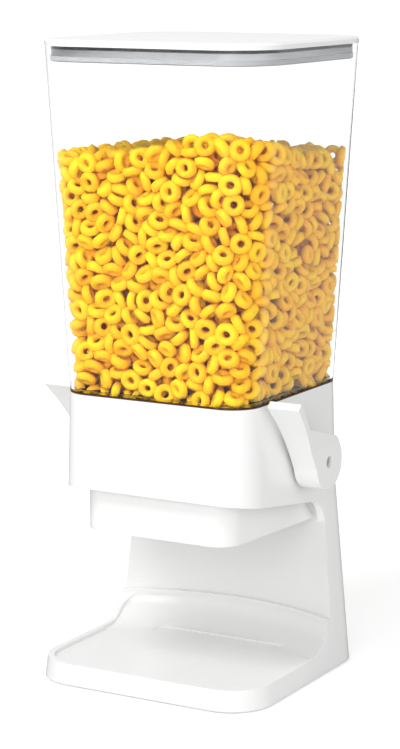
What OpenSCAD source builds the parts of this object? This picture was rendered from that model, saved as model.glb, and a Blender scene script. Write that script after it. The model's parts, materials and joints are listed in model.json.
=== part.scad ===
// Countertop cereal container: a clear tapered hopper on a C-shaped stand, with a
// flap gate under the hopper that two side levers tip open over a bowl.
// X runs to the right, Y to the back and Z up. The origin lies on the table,
// halfway between the front of the base and the back of the lid.

/* [Hopper] */
// Outside width of the hopper at its rim
hopper_rim_w = 153.6; // [148:0.2:159]
// Outside depth of the hopper at its rim
hopper_rim_d = 151; // [146:0.2:156]
// Corner radius at the rim
hopper_rim_r = 32; // [26:1:38]
// Outside width of the hopper at its foot, and of the collar it stands on
hopper_foot_w = 127; // [124:0.2:131]
// Outside depth at the foot
hopper_foot_d = 127; // [124:0.2:131]
// Corner radius at the foot
hopper_foot_r = 19; // [16:0.5:23]
// Height from the foot to the rim
hopper_h = 203.8; // [150:1:260]
// Wall of the clear hopper
hopper_wall = 2.2; // [1.6:0.1:3]
// Length of the spigot that reaches down into the stand
spigot_h = 8.7; // [6:0.1:10]
// Gap between the spigot and the stand
spigot_gap = 0.4; // [0.2:0.1:0.8]

/* [Lid] */
// Thickness of the lid plate
lid_t = 3.8; // [3:0.1:6]
// Overhang of the lid past the rim
lid_lip = 0.4; // [0:0.1:1.5]
// Chamfer round the top of the lid
lid_edge = 1.2; // [0.6:0.1:2]
// Depth of the skirt under the lid
lid_skirt_h = 9; // [7:0.5:14]
// Wall of the skirt
lid_skirt_t = 1.8; // [1.2:0.1:3]
// Gap between the lid skirt and the hopper wall
lid_gap = 1; // [0.7:0.1:1.6]
// Height of the lid seal
lid_seal_h = 2.6; // [2:0.1:4]
// Gap that the lid seal leaves to the hopper at rest
seal_gap = 0.3; // [0.2:0.05:0.4]

/* [Stand] */
// Height of the collar housing, from its front lower edge to its top
housing_h = 56.4; // [50:0.2:64]
// Outward flare of the housing from top to bottom, each side
housing_flare = 1.5; // [0.5:0.1:2.5]
// Wall of the stand moulding
stand_wall = 2.8; // [2.2:0.1:3.4]
// Clear height of the bowl bay at its front
bay_h = 105.4; // [90:0.2:130]
// Drop of the housing's lower edge from the front to the back of the bay
bay_drop = 11.8; // [6:0.2:14]
// Radius where the housing side turns down into the column
bay_round = 16; // [12:0.5:18]
// Distance of the hollow back wall behind the hopper's axis
wall_y = 47; // [44:0.5:49]
// Radius of the hollow back wall in plan
wall_r = 155; // [140:1:200]
// Thickness of the base, without its feet
base_t = 12.4; // [11:0.2:16]
// Distance by which each side of the base lies inside the hopper's rim
base_side = 0.8; // [0:0.1:4]
// Reach of the base in front of the hopper's axis
base_front = 80; // [76:0.5:90]
// Reach of the stand behind the hopper's axis
base_back = 65; // [64.5:0.1:68]
// Radius of the front corners of the base
base_front_r = 26.5; // [22:0.5:30]
// Radius of the rear corners of the base
base_back_r = 20; // [17:0.5:22]
// Width of the raised edge round the tray
tray_rim = 4; // [3:0.5:7]
// Depth of the tray
tray_d = 2.2; // [1.2:0.1:3]
// Radius of the scoop between the tray and the back wall
scoop_r = 20.5; // [15:0.5:24]
// Distance of the scoop's top in front of the back wall
ledge_w = 1; // [0.6:0.1:2.5]
// Width of the raised border between the scoop and its ledge
ledge_border = 2.6; // [1.5:0.1:5]
// Radius of the scoop's upper corners
scoop_corner_r = 10; // [6:0.5:16]
// Depth of the shallow slot in the tray
slot_d = 0.8; // [0.4:0.1:1.2]
// Length of the slot
slot_l = 92; // [60:1:110]
// Width of the slot
slot_w = 14; // [8:0.5:16]

/* [Covers and feet] */
// Thickness of the base cover
base_cover_t = 2; // [1.5:0.1:2.5]
// Gap round the base cover and the back cover
cover_gap = 0.3; // [0.2:0.05:0.5]
// Width of the back cover
back_cover_w = 86; // [78:1:88]
// Height of the back cover
back_cover_h = 84; // [70:1:88]
// Thickness of the back cover
back_cover_t = 2.4; // [2:0.1:2.8]
// Corner radius of the back cover
back_cover_r = 8; // [5:0.5:10]
// Radius of the rubber feet
foot_r = 6.5; // [5:0.1:8]
// Height of the rubber feet under the base
foot_h = 1; // [0.8:0.1:1.4]
// Radius of the stem that holds a foot
foot_stem_r = 2.4; // [1.8:0.1:2.8]

/* [Funnel and gate] */
// Height of the pivot above the front lower edge of the housing
pivot_rise = 16.2; // [15:0.2:18]
// Distance of the pivot behind the hopper's axis
pivot_y = 7.5; // [6:0.1:9]
// Distance of the throat's mouth below the pivot
throat_drop = 7; // [6.5:0.1:8]
// Width of the throat
throat_w = 66; // [60:0.5:68]
// Reach of the throat in front of the hopper's axis
throat_front = 45; // [40:0.5:46]
// Reach of the throat behind the hopper's axis
throat_back = 2; // [0:0.1:3]
// Corner radius of the throat
throat_r = 6; // [4:0.5:9]
// Wall of the funnel
funnel_wall = 2; // [1.6:0.1:2.4]
// Thickness of the funnel's flange
funnel_flange_t = 2; // [1.6:0.1:2.4]
// Width of the flange that rests on the ledge in the housing
funnel_flange_w = 8; // [7:0.1:9]
// Thickness of the flap
flap_t = 2.4; // [2:0.1:3]
// Thickness of the soft seal on the flap
flap_seal_t = 2; // [1.5:0.1:2.4]
// Width of the soft seal
flap_seal_w = 6; // [4.5:0.1:7]
// Thickness of the flap's side arms
arm_t = 3; // [2.5:0.1:3.4]
// Radius of the hub on each arm
arm_hub_r = 6.5; // [5.8:0.1:6.6]
// Angle through which the levers open the gate
gate_open = 35; // [25:1:38]
// Depth of the chute under the housing's front lower edge
chute_drop = 26.4; // [24:0.2:34]
// Wall of the chute
chute_wall = 2.2; // [1.8:0.1:2.6]
// Distance of the chute's sides, at its front corners, inside the hopper's foot
chute_side_inset = 12.5; // [11.8:0.1:16.5]
// Distance of the chute's front behind the front of the hopper's foot
chute_front_inset = 4.5; // [3.5:0.1:6.5]
// Gap between the chute's sides and the back wall of the bay
chute_back_gap = 0.8; // [0.5:0.1:4]
// Angle at which the chute's sides spread towards the back
chute_spread = 5; // [3:0.5:6]
// Radius of the chute's front corners
chute_r = 15; // [12:0.5:18]

/* [Levers and shafts] */
// Gap between a lever and the housing at its lower edge
lever_gap = 1.6; // [1:0.1:2.4]
// Thickness of a lever
lever_t = 15.4; // [14:0.1:18]
// Radius of the boss round the pivot
boss_r = 16.6; // [14:0.1:17.2]
// Reach of the finger tab in front of the pivot
tab_reach = 50.5; // [46:0.5:56]
// Height of the finger tab's front edge above the pivot
tab_rise = 40; // [36:0.5:43]
// Thickness of the finger tab
tab_t = 4.9; // [3.5:0.1:6.5]
// Spread of the finger tab past the lever's outer face
tab_side = 5; // [2:0.5:8]
// Height of the flare from the lever's outer face out to the tab's full width
flare_h = 30; // [20:1:36]
// Radius of the hollow front face of a lever
lever_hollow_r = 150; // [120:1:200]
// Radius of the pivot shafts
shaft_r = 4; // [3.4:0.1:4.4]
// Depth of the flat on the shafts' ends
shaft_flat = 0.9; // [0.6:0.1:1.2]
// Running clearance round a shaft
shaft_gap = 0.05; // [0.03:0.01:0.08]
// Radius of the screw recess in the boss
recess_r = 3.6; // [3.5:0.1:4]
// Wall of the bushes
bush_wall = 0.9; // [0.8:0.1:1]
// Radius of the bushes' flange
bush_flange_r = 8; // [7.4:0.1:8.4]
// Radius of the return spring's wire
spring_wire_r = 0.6; // [0.4:0.05:0.7]

/* [Screws] */
// Radius of the plastic screws' shank
screw_r = 1.3; // [1:0.1:1.5]
// Radius of the plastic screws' head
screw_head_r = 2.6; // [2.2:0.1:2.8]
// Height of the plastic screws' head
screw_head_h = 1.6; // [1.2:0.1:1.8]
// Length of the plastic screws' shank
screw_len = 7; // [5.5:0.5:8]
// Radius of the screw posts
post_r = 3.8; // [3.4:0.1:4.2]
// Radius of the lever screws' shank
lever_screw_r = 1.9; // [1.5:0.1:2]
// Radius of the lever screws' head
lever_screw_head_r = 3.2; // [2.8:0.1:3.3]

/* [Hidden] */
$fn = 48;

// Small sizes that only make cuts and blends clean
cut = 1;
slab = 0.1;
hair = 0.05;

// Screws
screw_gap = 0.3;
flange_screw_len = screw_len + 1;
socket_share = 0.75;

// Heights, from the table up
base_z = foot_h;
base_top = base_z + base_t;
tray_z = base_top - tray_d;
ledge_z = tray_z + scoop_r;
housing_z = base_top + bay_h;
seam_drop = 2;
seam_z = housing_z - seam_drop;
bay_low_z = housing_z - bay_drop;
bay_turn_z = bay_low_z - bay_round;
deck_t = 2.8;
deck_rise = 3;
deck_z = bay_low_z + deck_rise;
deck_top = deck_z + deck_t;
deck_front = 19;
collar_z = housing_z + housing_h;
gasket_t = 1;
gasket_inset = 0.25;
hopper_z = collar_z + gasket_t;
hopper_floor_t = 2.4;
spigot_z = hopper_z - spigot_h;
rim_z = hopper_z + hopper_h;
lid_seal_rise = 0.6;

// The origin is under the middle of the overall depth
axis_y = (base_front - (hopper_rim_d/2 + lid_lip))/2;

// Plan shapes: width, reach to the front, reach to the back, front and rear corner radius
rim_shape = [hopper_rim_w, hopper_rim_d/2, hopper_rim_d/2, hopper_rim_r, hopper_rim_r];
foot_shape = [hopper_foot_w, hopper_foot_d/2, hopper_foot_d/2, hopper_foot_r, hopper_foot_r];
skirt_shape = grow(foot_shape, housing_flare);
base_w = hopper_rim_w - 2*base_side;
base_shape = [base_w, base_front, base_back, base_front_r, base_back_r];

function mix(a, b, t) = a + (b - a)*t;
function grow(s, d) = [s[0] + 2*d, s[1] + d, s[2] + d, max(s[3] + d, 1), max(s[4] + d, 1)];
function arc(c, r, from, to, steps = 12) =
    [for (i = [0:steps]) c + r*[cos(mix(from, to, i/steps)), sin(mix(from, to, i/steps))]];

// Outside of the hopper and of the stand at a height
function hopper_at(z) = mix(foot_shape, rim_shape, (z - hopper_z)/hopper_h);
function stand_at(z) = z > seam_z
    ? mix(skirt_shape, foot_shape, (z - seam_z)/(collar_z - seam_z))
    : mix(base_shape, skirt_shape, (z - base_z)/(seam_z - base_z));

// Hollow back wall of the bowl bay, a cylinder about an upright line in front
wall_axis_y = wall_y - wall_r;
function wall_at(x, r = wall_r) = wall_axis_y + sqrt(r*r - x*x);

// Pivot and gate
pivot_z = housing_z + pivot_rise;
throat_z = pivot_z - throat_drop;
neck_h = 4;
neck_z = throat_z + neck_h;
throat_shape = [throat_w, throat_front, throat_back, throat_r, throat_r];
flap_top = throat_z - seal_gap - flap_seal_t;
flap_z = flap_top - flap_t;
flap_margin = 4.5;
seal_past = 1;
flap_side = 7;
flap_w = throat_w + 2*flap_side;
flap_back_margin = 6;
flap_tail = throat_back + flap_back_margin;
flap_front_r = 10;
flap_back_r = 2;
wing_front = 22;
wing_r = 3;
wing_rise = 1;
arm_lean = 127;
arm_bite = 1;
arm_peg_room = [6, 5];
arm_gap = 8.5;
arm_x = throat_w/2 + funnel_wall + arm_gap;
arm_out = arm_x + arm_t;

// Funnel
flange_gap = 0.5;
spigot_clear = 2.5;
funnel_top = spigot_z - spigot_clear;
ledge_top = funnel_top - funnel_flange_t;
ledge_t = 2.5;
ledge_gap = 0.6;
funnel_corner_r = 22;
funnel_mouth = grow(stand_at(ledge_top), -(stand_wall + funnel_flange_w));
funnel_mouth_shape = [funnel_mouth[0], funnel_mouth[1], funnel_mouth[2],
                      funnel_corner_r, funnel_corner_r];
post_inset = 8.3;
funnel_post = stand_at(ledge_top)[0]/2 - stand_wall - post_inset;
funnel_post_y = stand_at(ledge_top)[1] - stand_wall - post_inset;
post_drop = 13;

// Chute
flap_clear = 0.7;
chute_top = flap_z - flap_clear;
chute_flange_t = 2;
chute_flange_r = 2;
chute_z = housing_z - chute_drop;
side_post_gap = 0.8;
side_post_y = -18;
side_post = [stand_at(chute_top)[0]/2 - stand_wall - post_r - side_post_gap, side_post_y];
side_post_h = 27;
side_rib_t = 2;
chute_half_w = hopper_foot_w/2 - chute_side_inset;
chute_front = hopper_foot_d/2 - chute_front_inset;
chute_back_x = chute_half_w + (chute_front - chute_r + wall_at(chute_half_w))*tan(chute_spread);
chute_back = wall_at(chute_back_x) - chute_back_gap;
chute_deck_gap = 0.6;
chute_wall_ahead = 3;
chute_wall_y = deck_front - chute_wall_ahead;
chute_wall_drop = 26;
// Lowest front corner of the gate's arms when it is open, which rests on the stops
wing_tip = [-wing_front - pivot_y, flap_z - pivot_z];
open_tip = [pivot_y + wing_tip[0]*cos(gate_open) - wing_tip[1]*sin(gate_open),
            pivot_z + wing_tip[0]*sin(gate_open) + wing_tip[1]*cos(gate_open)];
stop_size = [6, 7];
stop_ahead = 1;
stop_side = 1;
stop_gap = 0.4;

// Levers and shafts
lever_x = skirt_shape[0]/2 + lever_gap;
lever_out = lever_x + lever_t;
tab_turn = 45;
boss_front_angle = 200;
boss_back_angle = 70;
// Distance inside the boss's round edge at which the lever's own edges end
boss_hold = 0.5;
// Corner where the lever's rear edge turns back to the boss, behind and below the tab's front edge
elbow_back = 20.5;
elbow_drop = 15;
recess_d = 4.8;
recess_floor_t = 2;
shaft_end = lever_out - recess_d - recess_floor_t - hair;
shaft_shoulder = 0.4;
key_gap = 0.2;
thread_d = 9;
lever_screw_len = 9;
lever_screw_head_h = 2;
lever_hole_gap = 0.2;
washer_t = 0.6;
washer_gap = 0.15;
pad_inset = 1;
pad_t = 2;
pad_margin = 1;
pad_x = stand_at(pivot_z)[0]/2 - stand_wall - pad_inset;
bush_r = shaft_r + shaft_gap + bush_wall;
bush_step = 1;
bush_fit_r = bush_r + bush_step;
bush_flange_t = 1.6;
bush_arm_gap = 0.5;
bush_lever_gap = 0.3;
coil_gap = 0.15;
spring_r = bush_r + coil_gap + spring_wire_r;
spring_turns = 4.5;
spring_leg = 15;
peg_r = 1.2;
peg_at = 13;
peg_gap = 0.1;
peg_off = spring_r - spring_wire_r - peg_r - peg_gap;
peg_past = 3;
spring_arm_gap = 1;
spring_flange_gap = 0.4;
spring_from = arm_out + spring_wire_r + spring_arm_gap;
spring_to = pad_x - bush_flange_t - spring_wire_r - spring_flange_gap;

// Covers and feet
base_wall = 3;
tray_t = 2.4;
base_cavity_z = tray_z - tray_t;
base_cover_z = base_z + base_cover_t;
base_cover_shape = grow(base_shape, -(base_wall + cover_gap));
back_cover_rise = 8;
back_cover_z = base_top + back_cover_rise;
base_screw_len = 4.4;
base_head_h = 0.8;
back_head_h = 1.2;
foot_stem_past = 1.2;
front_foot_inset = 21;
rear_foot_inset = [31, 14];
front_post_inset = [12, 42];
rear_post_inset = 14;
front_foot = [base_w/2 - front_foot_inset, front_foot_inset - base_front];
rear_foot = [base_w/2 - rear_foot_inset[0], base_back - rear_foot_inset[1]];
front_post = [base_w/2 - front_post_inset[0], front_post_inset[1] - base_front];
rear_post_x = base_w/2 - rear_post_inset;
post_bite = 1;
rear_post = [rear_post_x, wall_at(rear_post_x, wall_r + stand_wall) + post_r - post_bite];
back_post_inset = 7;
foot_spots = [for (side = [-1, 1]) for (p = [front_foot, rear_foot]) [side*p[0], p[1]]];
base_posts = [for (side = [-1, 1]) for (p = [front_post, rear_post]) [side*p[0], p[1]]];
back_posts = [for (side = [-1, 1]) for (up = [back_post_inset, back_cover_h - back_post_inset])
    [side*(back_cover_w/2 - back_post_inset), back_cover_z + up]];

// Plan outline of a rounded rectangle
module plan(s) {
    w = s[0];
    front = s[1];
    back = s[2];
    rf = s[3];
    rb = s[4];
    translate([-w/2, rf - front]) square([w, front + back - rf - rb]);
    translate([rf - w/2, -front]) square([w - 2*rf, rf + rb]);
    translate([rb - w/2, back - rf - rb]) square([w - 2*rb, rf + rb]);
    for (side = [-1, 1]) {
        translate([side*(w/2 - rf), rf - front]) circle(rf);
        translate([side*(w/2 - rb), back - rb]) circle(rb);
    }
}

// Upright prism of a plan shape between two heights
module prism(s, from, to) {
    translate([0, 0, from]) linear_extrude(to - from) plan(s);
}

// Tapered body between two plan shapes
module loft(z0, s0, z1, s1) {
    hull() {
        prism(s0, z0, z0 + slab);
        prism(s1, z1 - slab, z1);
    }
}

// A side profile, drawn as [y, z], cut or drawn right across a width
module across(from, to) {
    translate([from, 0, 0]) rotate([90, 0, 90]) linear_extrude(to - from) children();
}

// Puts a piece on the hopper's axis
module on_axis() {
    translate([0, axis_y, 0]) children();
}

// A rod along X
module rod(from, to, r) {
    translate([from, 0, 0]) rotate([0, 90, 0]) cylinder(h = to - from, r = r);
}

// A rod along X with a flat on top, as on a keyed shaft end
module flat_rod(from, to, r, flat) {
    difference() {
        rod(from, to, r);
        translate([from - cut, -r, r - flat]) cube([to - from + 2*cut, 2*r, 2*r]);
    }
}

module at_pivot() {
    translate([0, pivot_y, pivot_z]) children();
}

module both_sides() {
    children();
    mirror([1, 0, 0]) children();
}

// Screw along -Z: head above the origin, shank below
module screw(r, head_r, head_h, len) {
    difference() {
        union() {
            cylinder(h = head_h, r = head_r);
            translate([0, 0, -len]) cylinder(h = len + hair, r = r);
        }
        translate([0, 0, head_h/2]) cylinder(h = head_h, r = socket_share*r, $fn = 6);
    }
}

// Stand

// Side profile of the bowl bay
module bay_profile() {
    far = 2*base_front;
    cheek_y = wall_at(base_w/2) - cut;
    turn = [wall_at(stand_at(bay_turn_z)[0]/2) - bay_round, bay_turn_z];
    slope = bay_drop/(turn[0] + stand_at(housing_z)[1]);
    polygon(concat(
        [[-far, base_top], [cheek_y, base_top], [cheek_y, bay_turn_z]],
        arc(turn, bay_round, 0, 90),
        [[-far, bay_low_z + slope*(turn[0] + far)]]));
}

module wall_cylinder(from, to, r) {
    translate([0, wall_axis_y, from]) cylinder(h = to - from, r = r, $fn = 180);
}

// Body of the scoop in front of the back wall, below its ledge
module scoop(r) {
    foot = [wall_r - ledge_w - scoop_r, ledge_z];
    translate([0, wall_axis_y, 0]) rotate_extrude($fn = 180)
        polygon(concat(
            [[foot[0], base_cavity_z]],
            arc(foot, r, 270, 360),
            [[wall_r + cut, ledge_z], [wall_r + cut, base_cavity_z]]));
}

// What is taken out of the scoop inside its border
module scoop_hollow() {
    w = base_w - 2*tray_rim;
    top = ledge_z - ledge_border;
    intersection() {
        difference() {
            wall_cylinder(tray_z, ledge_z, wall_r - cut/2);
            scoop(scoop_r);
        }
        translate([0, base_back, 0]) rotate([90, 0, 0]) linear_extrude(base_back)
            plan([w, -tray_z, top, cut, scoop_corner_r]);
    }
}

// Hollow under the scoop, seen in section as a triangle
module scoop_cavity() {
    foot = [wall_r - ledge_w - scoop_r, tray_z + scoop_r];
    touch = foot + (scoop_r + stand_wall)*[cos(45), -sin(45)];
    far = wall_r + stand_wall + cut;
    low = base_cavity_z - hair;
    translate([0, wall_axis_y, 0]) rotate_extrude($fn = 180)
        polygon([[touch[0] - touch[1] + low, low], [far, low], [far, touch[1] + far - touch[0]]]);
}

module bay() {
    inside_w = hopper_foot_w/2 - stand_wall + housing_flare;
    difference() {
        union() {
            across(-base_w, base_w) bay_profile();
            wall_cylinder(base_top, bay_turn_z, wall_r);
            intersection() {
                wall_cylinder(bay_turn_z - cut, deck_z, wall_r);
                translate([-inside_w, -base_front, 0]) cube([2*inside_w, 2*base_front, deck_z + cut]);
            }
        }
        scoop(scoop_r - tray_d);
    }
}

// The tray, its slot and the scoop behind it
module tray() {
    s = grow(stand_at(base_top), -tray_rim);
    foot_y = wall_axis_y + wall_r - ledge_w - scoop_r;
    difference() {
        prism([s[0], s[1], base_back/2, s[3], s[4]], tray_z, base_top + cut);
        scoop(scoop_r);
    }
    scoop_hollow();
    prism([slot_l, slot_w - foot_y, foot_y, slot_w/2 - hair, slot_w/2 - hair], tray_z - slot_d, tray_z + cut);
}

// Inside of the housing, the column and the base
module cavity() {
    difference() {
        union() {
            loft(seam_z - slab, grow(skirt_shape, -stand_wall),
                 collar_z + cut, grow(stand_at(collar_z + cut), -stand_wall));
            loft(base_z - cut, grow(stand_at(base_z - cut), -base_wall),
                 seam_z, grow(skirt_shape, -stand_wall));
        }
        difference() {
            wall_cylinder(base_cavity_z, deck_z, wall_r + stand_wall);
            scoop_cavity();
        }
        translate([-base_w, deck_front, deck_z]) cube([2*base_w, 2*base_back, deck_t]);
    }
}

module ledge_ring() {
    outer = grow(stand_at(ledge_top), -stand_wall/2);
    inner = grow(funnel_mouth_shape, funnel_wall + ledge_gap);
    difference() {
        prism(outer, ledge_top - ledge_t, ledge_top);
        prism(inner, ledge_top - ledge_t - cut, ledge_top + cut);
    }
}

module funnel_spots() {
    for (side = [-1, 1]) for (end = [-1, 1])
        translate([side*funnel_post, end*funnel_post_y, 0]) children();
}

module front_spots() {
    for (side = [-1, 1])
        translate([side*funnel_post, -funnel_post_y, 0]) children();
}

module side_spots() {
    for (side = [-1, 1])
        translate([side*side_post[0], side_post[1], 0]) children();
}

module housing_posts() {
    funnel_spots() translate([0, 0, ledge_top - post_drop]) cylinder(h = post_drop, r = post_r);
    front_spots() translate([0, 0, chute_top]) cylinder(h = ledge_top - chute_top, r = post_r);
    side_spots() translate([0, 0, chute_top]) cylinder(h = side_post_h, r = post_r);
    both_sides() translate([side_post[0], side_post[1] - side_rib_t/2, chute_top])
        cube([post_r + side_post_gap + stand_wall/2, side_rib_t, side_post_h]);
}

module cover_posts() {
    for (p = base_posts) {
        post_top = p[1] > 0 ? ledge_z : base_cavity_z + cut;
        translate([p[0], p[1], base_cover_z]) cylinder(h = post_top - base_cover_z, r = post_r);
    }
    for (p = back_posts) {
        from = wall_at(p[0], wall_r + stand_wall) - 1;
        translate([p[0], from, p[1]]) rotate([-90, 0, 0])
            cylinder(h = base_back - back_cover_t - from, r = post_r);
    }
}

// Hole for a plastic screw, open at both ends of its length
module pilot_hole(len) {
    cylinder(h = len + 2*cut, r = screw_r + hair);
}

module stand_pegs() {
    at_pivot() both_sides() translate([0, -peg_at, peg_off])
        rod(spring_to - peg_past, pad_x + pad_t, peg_r);
}

module stand() {
    color("white") on_axis() difference() {
        union() {
            difference() {
                union() {
                    loft(seam_z - slab, skirt_shape, collar_z, foot_shape);
                    loft(base_z, base_shape, seam_z, skirt_shape);
                }
                bay();
                tray();
                cavity();
            }
            ledge_ring();
            housing_posts();
            cover_posts();
            stand_pegs();
            at_pivot() both_sides() rod(pad_x, pad_x + pad_t, bush_flange_r + pad_margin);
        }
        at_pivot() both_sides() rod(pad_x - cut, lever_x, bush_fit_r + hair);
        funnel_spots() translate([0, 0, ledge_top - screw_len - cut]) pilot_hole(screw_len);
        front_spots() translate([0, 0, chute_top - cut]) pilot_hole(screw_len);
        side_spots() translate([0, 0, chute_top - cut]) pilot_hole(screw_len);
        for (p = base_posts)
            translate([p[0], p[1], base_cover_z - cut]) pilot_hole(base_screw_len);
        for (p = back_posts)
            translate([p[0], base_back - back_cover_t + cut, p[1]]) rotate([90, 0, 0])
                pilot_hole(screw_len);
        back_plate(cover_gap, base_back - back_cover_t - stand_wall, base_back + cut, 0);
    }
}

module back_plate(extra, from, to, inset) {
    w = back_cover_w + 2*extra - 2*inset;
    h = back_cover_h + 2*extra - 2*inset;
    r = back_cover_r + extra - inset;
    translate([0, to, back_cover_z + back_cover_h/2]) rotate([90, 0, 0])
        linear_extrude(to - from) plan([w, h/2, h/2, r, r]);
}

module base_cover() {
    color("gainsboro") on_axis() difference() {
        prism(base_cover_shape, base_z, base_cover_z);
        for (p = foot_spots) translate([p[0], p[1], base_z - cut])
            cylinder(h = base_cover_t + 2*cut, r = foot_stem_r + hair);
        for (p = base_posts) translate([p[0], p[1], base_z - cut]) {
            cylinder(h = base_cover_t + 2*cut, r = screw_r + screw_gap);
            cylinder(h = base_head_h + cut, r = screw_head_r + screw_gap);
        }
    }
}

module rubber_feet() {
    color("dimgray") on_axis() for (p = foot_spots) translate([p[0], p[1], 0]) {
        cylinder(h = foot_h, r = foot_r);
        translate([0, 0, foot_h - hair]) cylinder(h = base_cover_t + foot_stem_past, r = foot_stem_r);
    }
}

module base_screws() {
    color("silver") on_axis() for (p = base_posts)
        translate([p[0], p[1], base_z + base_head_h]) mirror([0, 0, 1])
            screw(screw_r, screw_head_r, base_head_h, base_screw_len);
}

module back_cover() {
    color("white") on_axis() difference() {
        back_plate(0, base_back - back_cover_t, base_back, 0);
        for (p = back_posts)
            translate([p[0], base_back + cut, p[1]]) rotate([90, 0, 0]) {
                cylinder(h = back_cover_t + 2*cut, r = screw_r + screw_gap);
                cylinder(h = back_head_h + cut, r = screw_head_r + screw_gap);
            }
    }
}

module back_screws() {
    color("silver") on_axis() for (p = back_posts)
        translate([p[0], base_back - back_head_h, p[1]]) rotate([-90, 0, 0])
            screw(screw_r, screw_head_r, back_head_h, screw_len);
}

module collar_gasket() {
    color("saddlebrown") on_axis() difference() {
        prism(grow(foot_shape, -gasket_inset), collar_z, hopper_z);
        prism(grow(foot_shape, gasket_inset - stand_wall), collar_z - cut, hopper_z + cut);
    }
}

// Funnel and chute

module funnel() {
    flange_shape = grow(stand_at(ledge_top), -(stand_wall + flange_gap));
    color("whitesmoke") on_axis() difference() {
        union() {
            prism(flange_shape, ledge_top, funnel_top);
            loft(neck_z, grow(throat_shape, funnel_wall),
                 funnel_top, grow(funnel_mouth_shape, funnel_wall));
            prism(grow(throat_shape, funnel_wall), throat_z, neck_z + slab);
        }
        loft(neck_z, throat_shape, funnel_top + hair, grow(funnel_mouth_shape, hair));
        prism(throat_shape, throat_z - cut, neck_z + slab);
        funnel_spots() translate([0, 0, ledge_top - cut])
            cylinder(h = funnel_flange_t + 2*cut, r = screw_r + screw_gap);
    }
}

module funnel_screws() {
    color("silver") on_axis() funnel_spots() translate([0, 0, funnel_top])
        screw(screw_r, screw_head_r, screw_head_h, flange_screw_len);
}

// Plan of the chute, drawn in by a distance, up to a line across the back
module chute_plan(inset, back) {
    r = chute_r - inset;
    centre = [chute_half_w - chute_r, chute_r - chute_front];
    right = arc(centre, r, -90, -chute_spread);
    edge = centre + r*[cos(chute_spread), -sin(chute_spread)];
    corner = [edge[0] + (back - edge[1])*tan(chute_spread), back];
    points = concat(right, [corner]);
    polygon(concat(points, [for (i = [len(points) - 1:-1:0]) [-points[i][0], points[i][1]]]));
}

// Lug inside the chute that the gate's arm comes down on
module open_stop(side) {
    near = arm_x + stop_side;
    far = base_w/2;
    translate([side > 0 ? near : -far, open_tip[0] - stop_ahead, open_tip[1] - stop_gap - stop_size[1]])
        cube([far - near, stop_size[0], stop_size[1]]);
}

module outlet_chute() {
    flange_shape = grow(stand_at(chute_top), -(stand_wall + flange_gap));
    slant_top = deck_z - chute_deck_gap;
    slant = (slant_top - chute_z)/(chute_back - deck_front);
    flange_back = chute_wall_y + chute_wall/2;
    flange_z = chute_top - chute_flange_t;
    tall = chute_top - chute_z;
    beyond = 2*chute_back;
    color("white") on_axis() difference() {
        union() {
            difference() {
                translate([0, 0, chute_z]) linear_extrude(tall) chute_plan(0, chute_back);
                translate([0, 0, chute_z - cut]) linear_extrude(tall + 2*cut)
                    chute_plan(chute_wall, chute_back + cut);
                across(-base_w, base_w) polygon([
                    [chute_back, chute_z],
                    [deck_front, slant_top],
                    [deck_front - (chute_top - deck_z)/slant, chute_top + cut],
                    [beyond, chute_top + cut],
                    [beyond, chute_z]]);
            }
            difference() {
                prism([flange_shape[0], flange_shape[1], flange_back, flange_shape[3], chute_flange_r],
                      flange_z, chute_top);
                translate([0, 0, chute_z]) linear_extrude(tall + cut)
                    chute_plan(chute_wall/2, chute_wall_y);
            }
            intersection() {
                translate([0, 0, chute_z]) linear_extrude(tall) chute_plan(chute_wall/2, chute_back);
                union() {
                    translate([-base_w/2, chute_wall_y - chute_wall/2, chute_top - chute_wall_drop])
                        cube([base_w, chute_wall, chute_wall_drop]);
                    for (side = [-1, 1]) open_stop(side);
                }
            }
        }
        front_spots() translate([0, 0, chute_z]) cylinder(h = chute_top, r = screw_r + screw_gap);
        side_spots() translate([0, 0, chute_z]) cylinder(h = chute_top, r = screw_r + screw_gap);
    }
}

module chute_screws() {
    color("silver") on_axis() {
        front_spots() translate([0, 0, chute_top - chute_flange_t]) mirror([0, 0, 1])
            screw(screw_r, screw_head_r, screw_head_h, flange_screw_len);
        side_spots() translate([0, 0, chute_top - chute_flange_t]) mirror([0, 0, 1])
            screw(screw_r, screw_head_r, screw_head_h, flange_screw_len);
    }
}

// Gate

module arm_profile() {
    tail_y = flap_tail - pivot_y;
    circle(arm_hub_r);
    polygon([
        [-wing_front - pivot_y, flap_z - pivot_z],
        [tail_y, flap_z - pivot_z],
        [arm_hub_r - arm_bite, 0],
        (arm_hub_r - arm_bite)*[cos(arm_lean), sin(arm_lean)],
        [-peg_at - arm_peg_room[0], peg_off + peg_r + arm_peg_room[1]],
        [-wing_front - pivot_y, flap_top - pivot_z + wing_rise]]);
}

module gate_flap() {
    color("whitesmoke") on_axis() difference() {
        union() {
            prism([flap_w, throat_front + flap_margin, flap_tail, flap_front_r, flap_back_r],
                  flap_z, flap_top);
            prism([2*arm_out, wing_front, flap_tail, wing_r, flap_back_r], flap_z, flap_top);
            at_pivot() both_sides() across(arm_x, arm_out) arm_profile();
            at_pivot() both_sides() translate([0, -peg_at, -peg_off])
                rod(arm_out - cut, spring_from + peg_past, peg_r);
        }
        at_pivot() both_sides() flat_rod(arm_x - cut, arm_out + cut, shaft_r + shaft_gap, shaft_flat);
    }
}

module gate_seal() {
    outer = grow(throat_shape, funnel_wall + seal_past);
    color("lightgray") on_axis() difference() {
        prism(outer, flap_top, flap_top + flap_seal_t);
        prism(grow(outer, -flap_seal_w), flap_top - cut, flap_top + flap_seal_t + cut);
    }
}

// Shafts, bushes, springs and levers

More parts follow.
